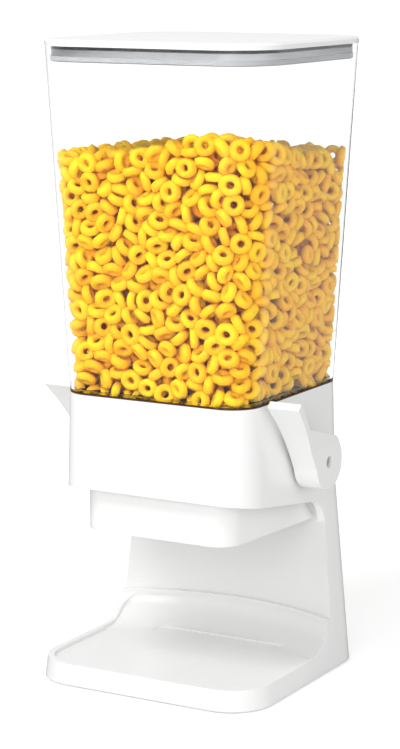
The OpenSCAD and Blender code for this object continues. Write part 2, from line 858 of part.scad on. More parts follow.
module pivot_shafts() {
    key_end = lever_x - key_gap;
    shoulder = arm_out + shaft_shoulder;
    color("silver") on_axis() at_pivot() both_sides() difference() {
        union() {
            flat_rod(arm_x, shoulder, shaft_r, shaft_flat + shaft_gap);
            rod(shoulder - hair, key_end, shaft_r);
            flat_rod(key_end - hair, shaft_end, shaft_r, shaft_flat + shaft_gap);
        }
        rod(shaft_end - thread_d, shaft_end + cut, lever_screw_r + hair);
    }
}

module bush() {
    on_axis() at_pivot() difference() {
        union() {
            rod(arm_out + bush_arm_gap, pad_x, bush_r);
            rod(pad_x - bush_flange_t, pad_x, bush_flange_r);
            rod(pad_x - hair, lever_x - bush_lever_gap, bush_fit_r);
        }
        rod(arm_out, lever_x, shaft_r + shaft_gap);
    }
}

module bush_right() {
    color("ivory") bush();
}

module bush_left() {
    color("ivory") mirror([1, 0, 0]) bush();
}

// Torsion spring: a straight leg, the coil and a second leg, swept as one wire
function coil_point(a) = [mix(spring_from, spring_to, (a - 270)/(spring_turns*360)),
                          spring_r*cos(a), spring_r*sin(a)];
coil_steps = 20;
coil_end = 270 + spring_turns*360;
spring_route = concat(
    [[coil_point(270) + [0, -spring_leg, 0], 270]],
    [for (a = [270:360/coil_steps:coil_end]) [coil_point(a), a]],
    [[coil_point(coil_end) + [0, -spring_leg, 0], coil_end]]);

module return_spring() {
    sides = 8;
    n = len(spring_route);
    turn = 360/sides;
    points = [for (stop = spring_route) for (k = [0:sides - 1])
        stop[0] + spring_wire_r*[sin(k*turn), cos(k*turn)*cos(stop[1]), cos(k*turn)*sin(stop[1])]];
    walls = [for (i = [0:n - 2]) for (k = [0:sides - 1])
        [i*sides + k, i*sides + (k + 1)%sides, (i + 1)*sides + (k + 1)%sides, (i + 1)*sides + k]];
    ends = [[for (k = [sides - 1:-1:0]) k], [for (k = [0:sides - 1]) (n - 1)*sides + k]];
    on_axis() at_pivot() polyhedron(points, concat(walls, ends));
}

module return_spring_right() {
    color("silver") return_spring();
}

module return_spring_left() {
    color("silver") mirror([1, 0, 0]) return_spring();
}

// Side profile of a lever, drawn from the pivot
module lever_profile() {
    tip = [-tab_reach, tab_rise];
    hold_r = boss_r - boss_hold;
    boss_touch = hold_r*[cos(boss_front_angle), sin(boss_front_angle)];
    chord = boss_touch - tip;
    middle = (tip + boss_touch)/2;
    rise = sqrt(pow(lever_hollow_r, 2) - pow(norm(chord)/2, 2));
    hollow = middle + rise*[chord[1], -chord[0]]/norm(chord);
    from = atan2(tip[1] - hollow[1], tip[0] - hollow[0]);
    to = atan2(boss_touch[1] - hollow[1], boss_touch[0] - hollow[0]);
    circle(boss_r);
    polygon(concat(
        arc(hollow, lever_hollow_r, from, to),
        [[0, 0], hold_r*[cos(boss_back_angle), sin(boss_back_angle)],
         tip + [elbow_back, -elbow_drop],
         tip + tab_t*[cos(tab_turn), sin(tab_turn)]]));
}

// Front view of a lever, which flares out towards the tab
module lever_front() {
    low = -boss_r - cut;
    high = tab_rise + tab_t + cut;
    reach = tab_reach + boss_r;
    tab_out = lever_out + tab_side;
    rotate([90, 0, 0]) translate([0, 0, -reach]) linear_extrude(2*reach) polygon([
        [lever_x, low], [lever_out, low], [lever_out, tab_rise - flare_h],
        [tab_out, tab_rise], [tab_out, high], [lever_x, high]]);
}

module lever() {
    color("white") on_axis() at_pivot() difference() {
        intersection() {
            across(lever_x - cut, lever_out + tab_side + cut) lever_profile();
            lever_front();
        }
        flat_rod(lever_x - cut, shaft_end + hair, shaft_r + shaft_gap, shaft_flat);
        rod(lever_x, lever_out, lever_screw_r + lever_hole_gap);
        rod(lever_out - recess_d, lever_out + cut, recess_r);
    }
}

module lever_right() {
    lever();
}

module lever_left() {
    mirror([1, 0, 0]) lever();
}

module lever_washers() {
    color("silver") on_axis() at_pivot() both_sides() difference() {
        rod(lever_out - recess_d, lever_out - recess_d + washer_t, recess_r - washer_gap);
        rod(lever_out - recess_d - cut, lever_out, lever_screw_r + lever_hole_gap);
    }
}

module lever_screws() {
    color("dimgray") on_axis() at_pivot() both_sides()
        translate([lever_out - recess_d + washer_t, 0, 0]) rotate([0, 90, 0])
            screw(lever_screw_r, lever_screw_head_r, lever_screw_head_h, lever_screw_len);
}

// Hopper and lid

module hopper() {
    spigot = grow(foot_shape, -(stand_wall + spigot_gap));
    inner_foot = grow(foot_shape, -hopper_wall);
    inside_z = hopper_z + hopper_floor_t;
    color([0.85, 0.9, 0.92, 0.4]) on_axis() difference() {
        union() {
            loft(hopper_z, foot_shape, rim_z, rim_shape);
            prism(spigot, spigot_z, hopper_z + slab);
        }
        loft(inside_z, grow(hopper_at(inside_z), -hopper_wall),
             rim_z + cut, grow(hopper_at(rim_z + cut), -hopper_wall));
        prism(grow(spigot, -hopper_wall), spigot_z - cut, inside_z + cut);
    }
}

module lid_top() {
    plate = grow(rim_shape, lid_lip);
    edge_z = rim_z + lid_t - lid_edge;
    color("white") on_axis() {
        prism(plate, rim_z, edge_z);
        loft(edge_z - slab, plate, rim_z + lid_t, grow(plate, -lid_edge));
    }
}

module lid_insert() {
    skirt_z = rim_z - lid_skirt_h;
    skirt = grow(hopper_at(skirt_z), -(hopper_wall + lid_gap));
    color("lightgray") on_axis() difference() {
        prism(skirt, skirt_z, rim_z);
        prism(grow(skirt, -lid_skirt_t), skirt_z - cut, rim_z - lid_skirt_t);
    }
}

module lid_seal() {
    skirt_z = rim_z - lid_skirt_h;
    skirt = grow(hopper_at(skirt_z), -(hopper_wall + lid_gap));
    reach = grow(hopper_at(skirt_z), -(hopper_wall + seal_gap));
    color("gray") on_axis() difference() {
        prism(reach, skirt_z + lid_seal_rise, skirt_z + lid_seal_rise + lid_seal_h);
        prism(skirt, skirt_z, rim_z);
    }
}

stand();
base_cover();
back_cover();
rubber_feet();
base_screws();
back_screws();
collar_gasket();
funnel();
funnel_screws();
outlet_chute();
chute_screws();
gate_flap();
gate_seal();
pivot_shafts();
bush_left();
bush_right();
return_spring_left();
return_spring_right();
lever_left();
lever_right();
lever_screws();
lever_washers();
hopper();
lid_top();
lid_insert();
lid_seal();
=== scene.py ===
import json
import math

import bmesh
import bpy
import numpy as np
from mathutils import Matrix, Vector


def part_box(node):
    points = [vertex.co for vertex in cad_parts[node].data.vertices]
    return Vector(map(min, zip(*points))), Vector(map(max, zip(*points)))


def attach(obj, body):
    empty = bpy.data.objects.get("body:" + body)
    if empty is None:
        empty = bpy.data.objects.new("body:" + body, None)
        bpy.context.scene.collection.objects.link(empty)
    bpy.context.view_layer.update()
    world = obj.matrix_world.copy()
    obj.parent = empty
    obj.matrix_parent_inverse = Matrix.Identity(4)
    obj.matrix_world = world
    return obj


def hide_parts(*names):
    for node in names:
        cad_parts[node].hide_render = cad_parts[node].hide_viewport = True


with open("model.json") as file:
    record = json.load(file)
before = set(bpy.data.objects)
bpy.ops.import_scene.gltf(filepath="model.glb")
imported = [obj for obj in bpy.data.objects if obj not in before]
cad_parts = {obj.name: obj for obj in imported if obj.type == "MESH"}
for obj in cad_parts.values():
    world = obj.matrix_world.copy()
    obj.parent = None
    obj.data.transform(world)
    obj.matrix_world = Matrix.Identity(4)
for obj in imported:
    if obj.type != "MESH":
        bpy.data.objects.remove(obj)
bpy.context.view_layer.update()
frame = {"nodes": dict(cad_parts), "record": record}
nodes = frame["nodes"]
scene = bpy.context.scene
print("frame loaded,", len(nodes), "nodes")

millimetre = 0.001
hopperLow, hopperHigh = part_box("hopper")
axisY = (hopperLow.y + hopperHigh.y)/2     # the upright axis of hopper and housing


# Node groups that several finishes share

def newGroup(name, inputs, outputs):
    group = bpy.data.node_groups.new(name, "ShaderNodeTree")
    for label, kind, value in inputs:
        socket = group.interface.new_socket(label, in_out="INPUT", socket_type=kind)
        socket.default_value = value
    for label, kind in outputs:
        group.interface.new_socket(label, in_out="OUTPUT", socket_type=kind)
    return group, group.nodes.new("NodeGroupInput"), group.nodes.new("NodeGroupOutput")


def addNode(tree, kind, **settings):
    node = tree.nodes.new(kind)
    for label, value in settings.items():
        setattr(node, label, value)
    return node


def feed(tree, value, socket):
    if isinstance(value, bpy.types.NodeSocket):
        tree.links.new(value, socket)
    else:
        socket.default_value = value


def noise(tree, vector, scale, detail, roughness=0.5):
    node = addNode(tree, "ShaderNodeTexNoise")
    node.inputs["Detail"].default_value = detail
    node.inputs["Roughness"].default_value = roughness
    tree.links.new(vector, node.inputs["Vector"])
    feed(tree, scale, node.inputs["Scale"])
    return node.outputs["Fac"]


def maths(tree, operation, a, b=0.0, c=0.0):
    node = addNode(tree, "ShaderNodeMath", operation=operation)
    for value, socket in zip((a, b, c), node.inputs):
        feed(tree, value, socket)
    return node.outputs[0]


def spread(tree, value, low, high, toLow, toHigh):
    node = addNode(tree, "ShaderNodeMapRange", interpolation_type="SMOOTHSTEP")
    for label, given in (("Value", value), ("From Min", low), ("From Max", high), ("To Min", toLow),
                         ("To Max", toHigh)):
        feed(tree, given, node.inputs[label])
    return node.outputs["Result"]


def mixColours(tree, factor, a, b):
    node = addNode(tree, "ShaderNodeMix", data_type="RGBA")
    feed(tree, factor, node.inputs[0])
    feed(tree, a, node.inputs[6])
    feed(tree, b, node.inputs[7])
    return node.outputs[2]


skinPattern = {
    "patches": {"scale": 26.0, "detail": 2.0},
    "rubs": {"scale": 75.0, "detail": 5.0, "roughness": 0.62},
    "rubbed": {"low": 0.5, "high": 0.72, "toLow": 0.0, "toHigh": 1.0},
    "grainDetail": 2.0,
}


def makeMouldedSkin():
    # Faint cloudy patches, a fine tool texture and a few dull handling marks
    group, given, out = newGroup(
        "mouldedSkin",
        [("Colour", "NodeSocketColor", (0.8, 0.8, 0.8, 1)), ("Cloud", "NodeSocketFloat", 0.02),
         ("Roughness", "NodeSocketFloat", 0.3), ("Marks", "NodeSocketFloat", 0.06),
         ("Grain", "NodeSocketFloat", 900.0)],
        [("Colour", "NodeSocketColor"), ("Roughness", "NodeSocketFloat"), ("Height", "NodeSocketFloat")])
    place = addNode(group, "ShaderNodeTexCoord").outputs["Object"]
    patches = noise(group, place, **skinPattern["patches"])
    shade = maths(group, "MULTIPLY", maths(group, "SUBTRACT", 0.5, patches), given.outputs["Cloud"])
    darker = addNode(group, "ShaderNodeHueSaturation")
    group.links.new(given.outputs["Colour"], darker.inputs["Color"])
    group.links.new(maths(group, "ADD", 1.0, shade), darker.inputs["Value"])
    rubbed = spread(group, noise(group, place, **skinPattern["rubs"]), **skinPattern["rubbed"])
    dull = maths(group, "MULTIPLY_ADD", rubbed, given.outputs["Marks"], given.outputs["Roughness"])
    group.links.new(darker.outputs["Color"], out.inputs["Colour"])
    group.links.new(dull, out.inputs["Roughness"])
    grain = noise(group, place, given.outputs["Grain"], skinPattern["grainDetail"])
    group.links.new(grain, out.inputs["Height"])
    return group


metalPattern = {
    "stretch": (0.08, 1.0, 1.0),
    "lines": {"scale": 2600.0, "detail": 3.0},
    "spots": {"scale": 260.0, "detail": 3.0},
    "shade": {"low": 0.35, "high": 0.7, "toLow": 0.86, "toHigh": 1.04},
    "dull": {"low": 0.4, "high": 0.8, "toLow": 0.0, "toHigh": 0.16},
}


def makeRolledMetal():
    # Fine drawn lines along one way, with duller spots
    group, given, out = newGroup(
        "rolledMetal",
        [("Colour", "NodeSocketColor", (0.6, 0.6, 0.6, 1)), ("Roughness", "NodeSocketFloat", 0.3)],
        [("Colour", "NodeSocketColor"), ("Roughness", "NodeSocketFloat"), ("Height", "NodeSocketFloat")])
    place = addNode(group, "ShaderNodeTexCoord").outputs["Object"]
    stretch = addNode(group, "ShaderNodeMapping")
    stretch.inputs["Scale"].default_value = metalPattern["stretch"]
    group.links.new(place, stretch.inputs["Vector"])
    lines = noise(group, stretch.outputs["Vector"], **metalPattern["lines"])
    spots = noise(group, place, **metalPattern["spots"])
    shade = spread(group, spots, **metalPattern["shade"])
    tinted = addNode(group, "ShaderNodeHueSaturation")
    group.links.new(given.outputs["Colour"], tinted.inputs["Color"])
    group.links.new(shade, tinted.inputs["Value"])
    dull = maths(group, "ADD", given.outputs["Roughness"], spread(group, spots, **metalPattern["dull"]))
    group.links.new(tinted.outputs["Color"], out.inputs["Colour"])
    group.links.new(dull, out.inputs["Roughness"])
    group.links.new(lines, out.inputs["Height"])
    return group


mouldedSkin = makeMouldedSkin()
rolledMetal = makeRolledMetal()


# Finishes

def newMaterial(name):
    material = bpy.data.materials.new(name)
    material.use_nodes = True
    shader = material.node_tree.nodes["Principled BSDF"]
    return material, material.node_tree, shader


def addRelief(tree, shader, height, strength, depth):
    relief = addNode(tree, "ShaderNodeBump")
    relief.inputs["Strength"].default_value = strength
    relief.inputs["Distance"].default_value = depth
    tree.links.new(height, relief.inputs["Height"])
    tree.links.new(relief.outputs["Normal"], shader.inputs["Normal"])


skinDepth = 0.02*millimetre     # height of the fine relief on plastics and metal


def wearSkin(tree, shader, group, strength, **values):
    skin = addNode(tree, "ShaderNodeGroup", node_tree=group)
    for label, value in values.items():
        skin.inputs[label].default_value = value
    tree.links.new(skin.outputs["Colour"], shader.inputs["Base Color"])
    tree.links.new(skin.outputs["Roughness"], shader.inputs["Roughness"])
    addRelief(tree, shader, skin.outputs["Height"], strength, skinDepth)


plastics = {
    "whiteGloss": {"colour": (0.93, 0.93, 0.925, 1), "cloud": 0.02, "rough": 0.2, "marks": 0.07,
                   "grain": 1100.0, "bump": 0.12, "ior": 1.5},
    "innerMoulding": {"colour": (0.82, 0.82, 0.80, 1), "cloud": 0.05, "rough": 0.42, "marks": 0.1,
                      "grain": 1500.0, "bump": 0.3, "ior": 1.48},
    "blackRubber": {"colour": (0.035, 0.035, 0.036, 1), "cloud": 0.3, "rough": 0.62, "marks": 0.15,
                    "grain": 1900.0, "bump": 0.5, "ior": 1.5},
    "greySilicone": {"colour": (0.4, 0.41, 0.42, 1), "cloud": 0.08, "rough": 0.5, "marks": 0.12,
                     "grain": 1600.0, "bump": 0.35, "ior": 1.43},
    "brownSilicone": {"colour": (0.07, 0.036, 0.018, 1), "cloud": 0.25, "rough": 0.42, "marks": 0.14,
                      "grain": 1600.0, "bump": 0.35, "ior": 1.43},
    "paleNylon": {"colour": (0.76, 0.73, 0.64, 1), "cloud": 0.08, "rough": 0.38, "marks": 0.1,
                  "grain": 1300.0, "bump": 0.25, "ior": 1.53},
}


def makePlastic(name):
    values = plastics[name]
    material, tree, shader = newMaterial(name)
    shader.inputs["IOR"].default_value = values["ior"]
    wearSkin(tree, shader, mouldedSkin, values["bump"], Colour=values["colour"], Cloud=values["cloud"],
             Roughness=values["rough"], Marks=values["marks"], Grain=values["grain"])
    return material


steelFinish = {"colour": (0.6, 0.6, 0.61, 1), "rough": 0.28, "bump": 0.2}


def makeSteel():
    material, tree, shader = newMaterial("platedSteel")
    shader.inputs["Metallic"].default_value = 1.0
    wearSkin(tree, shader, rolledMetal, steelFinish["bump"], Colour=steelFinish["colour"],
             Roughness=steelFinish["rough"])
    return material


clearFinish = {
    "hopperClear": {"colour": (0.985, 0.99, 0.99, 1), "cloud": 0.01, "rough": 0.015, "marks": 0.05,
                    "grain": 400.0, "bump": 0.05, "ior": 1.32},
    "insertGrey": {"colour": (0.74, 0.75, 0.77, 1), "cloud": 0.01, "rough": 0.35, "marks": 0.1,
                   "grain": 400.0, "bump": 0.2, "ior": 1.45},
}


def makeClear(name):
    # Shadow rays pass straight through, so that the lamps light what is inside
    values = clearFinish[name]
    material, tree, shader = newMaterial(name)
    shader.inputs["IOR"].default_value = values["ior"]
    shader.inputs["Transmission Weight"].default_value = 1.0
    wearSkin(tree, shader, mouldedSkin, values["bump"], Colour=values["colour"], Cloud=values["cloud"],
             Roughness=values["rough"], Marks=values["marks"], Grain=values["grain"])
    through = addNode(tree, "ShaderNodeBsdfTransparent")
    through.inputs["Color"].default_value = values["colour"]
    path = addNode(tree, "ShaderNodeLightPath")
    both = addNode(tree, "ShaderNodeMixShader")
    tree.links.new(path.outputs["Is Shadow Ray"], both.inputs["Fac"])
    tree.links.new(shader.outputs["BSDF"], both.inputs[1])
    tree.links.new(through.outputs["BSDF"], both.inputs[2])
    tree.links.new(both.outputs["Shader"], tree.nodes["Material Output"].inputs["Surface"])
    return material


grainFinish = {
    "pale": (0.97, 0.61, 0.008, 1),
    # the deeper orange stands for each ring's random tone and also for painted shade on rings lying deep
    # in the heap
    "deepToneAndShade": (0.92, 0.29, 0.002, 1),
    "toast": (0.80, 0.19, 0.002, 1),
    "gloss": 0.12,
    "flecks": {"scale": 420.0, "detail": 4.0, "roughness": 0.6},
    "flecked": {"low": 0.56, "high": 0.78, "toLow": 0.0, "toHigh": 0.55},
    "pits": {"scale": 1100.0, "detail": 4.0, "roughness": 0.62},
    "dull": {"low": 0.3, "high": 0.7, "toLow": 0.36, "toHigh": 0.6},
    "bump": {"strength": 0.5, "depth": 0.25*millimetre},
}


def makeGrain():
    # Puffed grain: each ring has a tone of its own, deepened by painted shade the further it lies inside
    # the heap, with toasted flecks and a pitted crust
    material, tree, shader = newMaterial("puffedGrain")
    place = addNode(tree, "ShaderNodeTexCoord").outputs["Object"]
    # the attribute mixes in the deeper orange by a random tone plus painted shade by depth in the heap
    toneAndShade = addNode(tree, "ShaderNodeAttribute", attribute_name="toneAndShade").outputs["Fac"]
    body = mixColours(tree, toneAndShade, grainFinish["pale"], grainFinish["deepToneAndShade"])
    flecks = spread(tree, noise(tree, place, **grainFinish["flecks"]), **grainFinish["flecked"])
    toasted = mixColours(tree, flecks, body, grainFinish["toast"])
    pits = noise(tree, place, **grainFinish["pits"])
    shader.inputs["Specular IOR Level"].default_value = grainFinish["gloss"]
    tree.links.new(toasted, shader.inputs["Base Color"])
    tree.links.new(spread(tree, pits, **grainFinish["dull"]), shader.inputs["Roughness"])
    addRelief(tree, shader, pits, **grainFinish["bump"])
    return material


finishes = {name: makePlastic(name) for name in plastics}
finishes.update({name: makeClear(name) for name in clearFinish})
finishes["platedSteel"] = makeSteel()
finishes["puffedGrain"] = makeGrain()
slotFinish = {
    "white_plastic": "whiteGloss",
    "clear_plastic": "hopperClear",
    "grey_insert": "insertGrey",
    "inner_plastic": "innerMoulding",
    "black_rubber": "blackRubber",
    "grey_silicone": "greySilicone",
    "brown_silicone": "brownSilicone",
    "bush_nylon": "paleNylon",
    "steel": "platedSteel",
}
print("finishes made,", len(finishes))


# Mesh helpers

meshValues = {
    "bevelSteps": 3,
    "crease": 30,                   # degrees past which an edge is rounded
    "doubles": 0.002*millimetre,    # vertices nearer than this are merged
    "flat": 1,                      # degrees up to which faces become one
    "onPlane": 1e-7,
}


def finishPiece(name, bm, body, material, bevel=0.0):
    mesh = bpy.data.meshes.new(name)
    bm.to_mesh(mesh)
    bm.free()
    for label in ("custom_normal", "sharp_edge", "sharp_face"):
        if label in mesh.attributes:
            mesh.attributes.remove(mesh.attributes[label])
    mesh.polygons.foreach_set("use_smooth", [True]*len(mesh.polygons))
    mesh.materials.append(finishes[material])
    piece = bpy.data.objects.new(name, mesh)
    scene.collection.objects.link(piece)
    if bevel:
        soft = piece.modifiers.new("softEdges", "BEVEL")
        soft.width = bevel
        soft.segments = meshValues["bevelSteps"]
        soft.profile = 0.5
        soft.limit_method = "ANGLE"
        soft.angle_limit = math.radians(meshValues["crease"])
        soft.harden_normals = True
    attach(piece, body)
    return piece


def mergedCopy(node):
    bm = bmesh.new()
    bm.from_mesh(nodes[node].data)
    bmesh.ops.remove_doubles(bm, verts=bm.verts, dist=meshValues["doubles"])
    bmesh.ops.dissolve_limit(bm, angle_limit=math.radians(meshValues["flat"]), verts=bm.verts,
                             edges=bm.edges, delimit={"NORMAL"})
    return bm


def planLoop(bm, halfW, halfD, radius, z, steps):
    # A rounded rectangle of edges: four corners, each bevelled into an arc
    signs = ((1, -1), (1, 1), (-1, 1), (-1, -1))
    corners = [bm.verts.new((x*halfW, axisY + y*halfD, z)) for x, y in signs]
    bm.faces.new(corners)
    bmesh.ops.bevel(bm, geom=corners, offset=radius, offset_type="OFFSET", affect="VERTICES",
                    segments=steps, profile=0.5, material=-1, clamp_overlap=False)
    faces = [f for f in bm.faces if all(abs(v.co.z - z) < meshValues["onPlane"] for v in f.verts) and
             all(e.is_boundary for e in f.edges)]
    edges = [e for f in faces for e in f.edges]
    bmesh.ops.delete(bm, geom=faces, context="FACES_ONLY")
    return edges


def loftLoops(shapes, steps):
    # Each loop is bridged to the next one, and the last one back to the first
    bm = bmesh.new()
    loops = [planLoop(bm, *shape, steps) for shape in shapes]
    for a, b in zip(loops, loops[1:] + loops[:1]):
        bmesh.ops.bridge_loops(bm, edges=a + b)
    bmesh.ops.recalc_face_normals(bm, faces=bm.faces)
    return bm


# Clear hopper: one closed wall, lofted round the outside, over the rim and down inside

hopper = {
    "foot": (0.0635, 0.0635, 0.019),       # half width, half depth, corner radius
    "rim": (hopperHigh.x, hopperHigh.y - axisY, 0.032),
    "footZ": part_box("collar_gasket")[1].z,
    "rimZ": hopperHigh.z,
    "spigotZ": hopperLow.z,
    "wall": 2.2*millimetre,
    "floor": 1.0*millimetre,
    "spigotInset": 3.2*millimetre,
    "edge": 0.6*millimetre,
    "cornerSteps": 20,
}


def hopperShape(z, inset=0.0):
    t = (z - hopper["footZ"])/(hopper["rimZ"] - hopper["footZ"])
    return tuple(a + (b - a)*t - inset for a, b in zip(hopper["foot"], hopper["rim"]))


def buildHopper():
    wall = hopper["wall"]
    insideZ = hopper["footZ"] + hopper["floor"]
    spigot = tuple(v - hopper["spigotInset"] for v in hopper["foot"])
    bore = tuple(v - wall for v in spigot)
    shapes = [
        (*spigot, hopper["spigotZ"]),
        (*spigot, hopper["footZ"]),
        (*hopperShape(hopper["footZ"]), hopper["footZ"]),
        (*hopperShape(hopper["rimZ"]), hopper["rimZ"]),
        (*hopperShape(hopper["rimZ"], wall), hopper["rimZ"]),
        (*hopperShape(insideZ, wall), insideZ),
        (*bore, insideZ),
        (*bore, hopper["spigotZ"]),
    ]
    bm = loftLoops(shapes, hopper["cornerSteps"])
    piece = finishPiece("clear_hopper", bm, "hopper", "hopperClear", hopper["edge"])
    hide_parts("hopper")


buildHopper()
print("hopper built")


# Mouldings whose shape comes from the frame, with their edges rounded as a mould leaves them

mouldings = {
    # the edge is the radius in millimetres
    "stand": {"piece": "stand_body", "edge": 1.2},
    "outlet_chute": {"piece": "chute_body", "edge": 0.9},
    "lever_left": {"piece": "lever_left_body", "edge": 1.5},
    "lever_right": {"piece": "lever_right_body", "edge": 1.5},
    "lid_top": {"piece": "lid_plate", "edge": 0.4},
    "lid_insert": {"piece": "lid_skirt", "edge": 0.4},
    "back_cover": {"piece": "back_panel", "edge": 0.5},
    "base_cover": {"piece": "base_panel", "edge": 0.3},
    "funnel": {"piece": "inner_funnel", "edge": 0.3},
    "gate_flap": {"piece": "flap_body", "edge": 0.3},
}
nodeSlot = {part["node"]: part["material_slot"] for part in frame["record"]["subparts"]}
bodyNodes = frame["record"]["behaviour"]["bodies"]
nodeBody = {node: body for body, names in bodyNodes.items() for node in names}


def buildMouldings():
    for node, values in mouldings.items():
        slotName = nodeSlot[node]
        piece = finishPiece(values["piece"], mergedCopy(node), nodeBody[node], slotFinish[slotName],
                            values["edge"]*millimetre)
        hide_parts(node)


def dressCarriedNodes():
    # The small parts keep the frame's own meshes and only get their finish
    for node, carried in nodes.items():
        if carried.hide_render:
            continue
        for place in carried.material_slots:
            place.link = "OBJECT"
            place.material = finishes[slotFinish[nodeSlot[node]]]


buildMouldings()
dressCarriedNodes()
print("mouldings rounded, small parts finished")


# Puffed rings in the hopper: laid in a thick layer along the walls and over the top, then
# pushed apart until they lie against each other and the walls

rings = {
    "seed": 23,
    "middleR": 4.15*millimetre,    # from the ring's centre to the middle of its tube
    "tubeR": 2.5*millimetre,
    "tubeH": 3.0*millimetre,       # half the ring's thickness
    "around": 14,
    "across": 5,
    "sizeSpread": 0.09,
    "layer": 32*millimetre,        # depth of the layer that is filled
    "share": 930*millimetre**3,    # room for one ring
    "lowZ": 167.6*millimetre,
    "topZ": 318*millimetre,
    "peak": 14*millimetre,
    "peakAt": (0.040, -0.055),
    "peakWidth": 30*millimetre,
    "tries": 60000,                # spots drawn, of which those inside the layer are used
    "margin": 3*millimetre,        # least distance from a spot to the wall, the top and the bottom
    "spacing": 0.8,                # least distance between spots, in sides of the room for one ring
    "flat": {"within": 10*millimetre, "share": 0.55, "tilt": 0.35},    # rings laid against the wall
    # a random tone up to chance, plus painted shade up to depth for rings lying further in from the wall
    # and the top, growing over the given distance past from
    "toneAndShade": {"from": 7*millimetre, "over": 12*millimetre, "chance": 0.4, "depth": 0.7},
    "settle": {
        "rounds": 70,
        "relist": 5,                   # rounds after which near pairs are looked for again
        "near": 15*millimetre,
        "give": 0.86,                  # share of their reach at which two rings may nest
        "push": 0.35,
        "mostPush": millimetre,
        "tilt": 14,
        "mostTilt": 0.12,
        "wallGap": 0.15*millimetre,
        "drawWithin": 12*millimetre,   # rings this near to the wall are drawn to it
        "draw": 0.12,
        "topReach": 0.8,
        "topDrop": 0.5,
    },
    "pieces": 3,
}


def wallRoom(points, inset):
    # Distance from points to the inner wall, and the way that leads straight away from it
    footZ, rimZ = hopper["footZ"], hopper["rimZ"]
    t = (points[:, 2] - footZ)/(rimZ - footZ)
    foot, rim = np.array(hopper["foot"]), np.array(hopper["rim"])
    shape = foot + (rim - foot)*t[:, None] - inset
    bore = foot - hopper["spigotInset"] - inset
    shape = np.where((points[:, 2] < footZ + hopper["floor"])[:, None], bore, shape)
    flat = points[:, :2] - np.array((0, axisY))
    corner = np.abs(flat) - (shape[:, :2] - shape[:, 2:])
    outside = np.maximum(corner, 0)
    reach = np.linalg.norm(outside, axis=1)
    room = shape[:, 2] - reach - np.minimum(corner.max(axis=1), 0)
    side = np.where(corner[:, :1] > corner[:, 1:], np.array((1.0, 0.0)), np.array((0.0, 1.0)))
    way = np.where((reach > 1e-9)[:, None], outside/np.maximum(reach, 1e-9)[:, None], side)
    inward = -way*np.sign(flat)
    return room, np.column_stack((inward, np.zeros(len(points))))


def heapTop(points):
    away = points[:, :2] - np.array((rings["peakAt"][0], axisY + rings["peakAt"][1]))
    return rings["topZ"] + rings["peak"]*np.exp(-(away**2).sum(axis=1)/(2*rings["peakWidth"]**2))


def halfReach(along):
    # Half the ring's size along a direction that makes this cosine with its axis
    sine = np.sqrt(np.maximum(1 - along**2, 0))
    return rings["middleR"]*sine + np.sqrt((rings["tubeR"]*sine)**2 + (rings["tubeH"]*along)**2)


def unit(vectors):
    return vectors/np.maximum(np.linalg.norm(vectors, axis=1), 1e-9)[:, None]


def scatterRings(rng):
    wall = hopper["wall"]
    low = np.array((-hopper["rim"][0], axisY - hopper["rim"][1], rings["lowZ"]))
    high = np.array((hopper["rim"][0], axisY + hopper["rim"][1], rings["topZ"] + rings["peak"]))
    tries = rng.uniform(low, high, (rings["tries"], 3))
    room = wallRoom(tries, wall)[0]
    top = heapTop(tries) - tries[:, 2]
    bottom = tries[:, 2] - rings["lowZ"]
    nearest = np.minimum(np.minimum(room, top), bottom)
    inside = (nearest > rings["margin"]) & (nearest < rings["layer"])
    volume = np.prod(high - low)*inside.mean()
    count = int(volume/rings["share"])
    gap = rings["spacing"]*rings["share"]**(1/3)
    places = []
    for spot in tries[inside]:
        if len(places) == count:
            break
        if places and (((np.array(places) - spot)**2).sum(axis=1) < gap**2).any():
            continue
        places.append(spot)
    places = np.array(places)
    room, inward = wallRoom(places, wall)
    axes = unit(rng.normal(size=places.shape))
    flat = rings["flat"]
    facing = (room < flat["within"]) & (rng.random(len(places)) < flat["share"])
    axes[facing] = unit(inward[facing] + flat["tilt"]*rng.normal(size=(facing.sum(), 3)))
    return places, axes


def settleRings(places, axes):
    settle = rings["settle"]
    for turn in range(settle["rounds"]):
        if turn % settle["relist"] == 0:
            gaps = np.linalg.norm(places[:, None] - places[None], axis=2)
            pairA, pairB = np.nonzero(np.triu(gaps < settle["near"], 1))
        between = places[pairB] - places[pairA]
        length = np.maximum(np.linalg.norm(between, axis=1), 1e-6)
        way = between/length[:, None]
        alongA, alongB = (axes[pairA]*way).sum(axis=1), (axes[pairB]*way).sum(axis=1)
        wanted = settle["give"]*(halfReach(alongA) + halfReach(alongB))
        press = np.maximum(wanted - length, 0)
        push = settle["push"]*press[:, None]*way
        moved = np.zeros_like(places)
        np.add.at(moved, pairA, -push)
        np.add.at(moved, pairB, push)
        turned = np.zeros_like(axes)
        tilt = settle["tilt"]*press[:, None]
        np.add.at(turned, pairA, tilt*np.sign(alongA)[:, None]*way)
        np.add.at(turned, pairB, tilt*np.sign(alongB)[:, None]*way)
        places = places + np.clip(moved, -settle["mostPush"], settle["mostPush"])
        axes = unit(axes + np.clip(turned, -settle["mostTilt"], settle["mostTilt"]))
        room, inward = wallRoom(places, hopper["wall"])
        need = halfReach((axes*inward).sum(axis=1)) + settle["wallGap"]
        short = need - room
        drawn = np.where(room < settle["drawWithin"], settle["draw"]*short, 0)
        places = places + np.where(short > 0, short, drawn)[:, None]*inward
        upright = halfReach(axes[:, 2])
        places[:, 2] = np.maximum(places[:, 2], rings["lowZ"] + upright)
        over = places[:, 2] + settle["topReach"]*upright - heapTop(places)
        places[:, 2] -= np.maximum(over, 0)*settle["topDrop"]
    return places, axes


